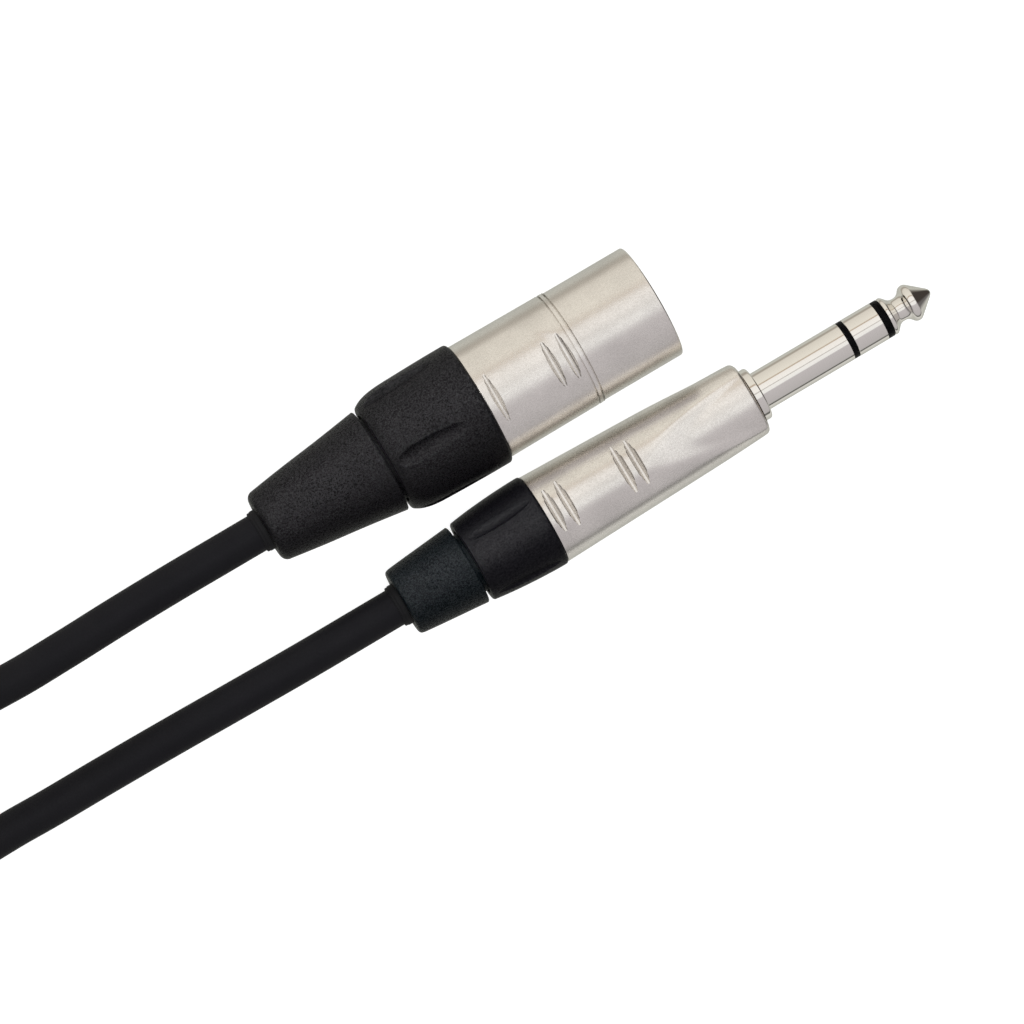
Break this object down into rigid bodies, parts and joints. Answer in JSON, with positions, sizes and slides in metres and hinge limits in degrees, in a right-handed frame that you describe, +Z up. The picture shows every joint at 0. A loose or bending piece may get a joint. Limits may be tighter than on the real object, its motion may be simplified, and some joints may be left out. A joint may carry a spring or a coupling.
{
  "type": "balanced audio patch cable",
  "caption": "Balanced audio patch cable with a metal XLR plug, a 6.35 mm TRS jack plug, screw-on boots, and the cable folded into a tied hank.",
  "frame": {"origin": "on the resting plane, midway between the two plugs and midway along the box of the plugs with their cable ends", "axes": "+X along both plugs towards their mating ends, +Y from the TRS plug to the XLR plug, +Z up"},
  "size_m": [0.3323, 0.0418, 0.0303],
  "materials": {
    "satin_nickel": "satin, fine blasted nickel plating",
    "polished_nickel": "polished nickel plating",
    "gold_contact": "thin gold plating over brass",
    "black_plastic": "fine-grained matt moulding",
    "black_rubber": "matt",
    "cable_jacket": "matt extruded jacket",
    "natural_plastic": "plain moulding",
    "tinned_brass": "tin plating over brass",
    "core_insulation": "extruded insulation, one core red and one white",
    "bare_copper": "bare copper strands",
    "solder": "dull solder",
    "fibre_washer": "pressed fibre",
    "tie_webbing": "woven hook-and-loop strap"
  },
  "bodies": {
    "plugs_and_cable": {"xlr_shell": "satin_nickel", "xlr_insert": "black_plastic", "xlr_pin_1": "gold_contact", "xlr_pin_2": "gold_contact", "xlr_pin_3": "gold_contact", "xlr_ground_spring": "tinned_brass", "xlr_chuck": "natural_plastic", "xlr_grommet": "black_rubber", "xlr_cable_end": "cable_jacket", "xlr_conductors": "core_insulation", "xlr_drain_wire": "bare_copper", "xlr_solder_joints": "solder", "trs_tip": "polished_nickel", "trs_tip_insulator": "black_plastic", "trs_ring": "polished_nickel", "trs_ring_insulator": "black_plastic", "trs_sleeve": "polished_nickel", "trs_tip_lug": "tinned_brass", "trs_ring_lug": "tinned_brass", "trs_sleeve_lug": "tinned_brass", "trs_lug_washer": "fibre_washer", "trs_liner": "natural_plastic", "trs_barrel": "satin_nickel", "trs_chuck": "natural_plastic", "trs_grommet": "black_rubber", "trs_cable_end": "cable_jacket", "trs_conductors": "core_insulation", "trs_drain_wire": "bare_copper", "trs_solder_joints": "solder", "cable_run_xlr": "cable_jacket", "cable_hank": "cable_jacket", "cable_run_trs": "cable_jacket", "hank_tie": "tie_webbing"},
    "xlr_boot_body": {"xlr_boot": "black_plastic"},
    "xlr_collar_body": {"xlr_collar": "black_plastic"},
    "trs_boot_body": {"trs_boot": "black_plastic"},
    "trs_collar_body": {"trs_collar": "black_plastic"}
  },
  "joints": [
    {"name": "xlr_boot_slide", "type": "slide", "parent": "plugs_and_cable", "child": "xlr_boot_body", "axis": [-1, 0, 0], "range_m": [0, 0.00637]},
    {"name": "xlr_collar_turn", "type": "hinge", "parent": "xlr_boot_body", "child": "xlr_collar_body", "pos_m": [-0.02, 0.00895, 0.0104], "axis": [-1, 0, 0], "range_deg": [0, 1530]},
    {"name": "trs_boot_slide", "type": "slide", "parent": "plugs_and_cable", "child": "trs_boot_body", "axis": [-1, 0, 0], "range_m": [0, 0.00525]},
    {"name": "trs_collar_turn", "type": "hinge", "parent": "trs_boot_body", "child": "trs_collar_body", "pos_m": [-0.018, -0.01165, 0.0077], "axis": [-1, 0, 0], "range_deg": [0, 1890]}
  ],
  "couplings": [
    {"joint": "xlr_collar_turn", "follows": "xlr_boot_slide", "rad_per_m": 4188.8},
    {"joint": "trs_collar_turn", "follows": "trs_boot_slide", "rad_per_m": 6283.2}
  ]
}
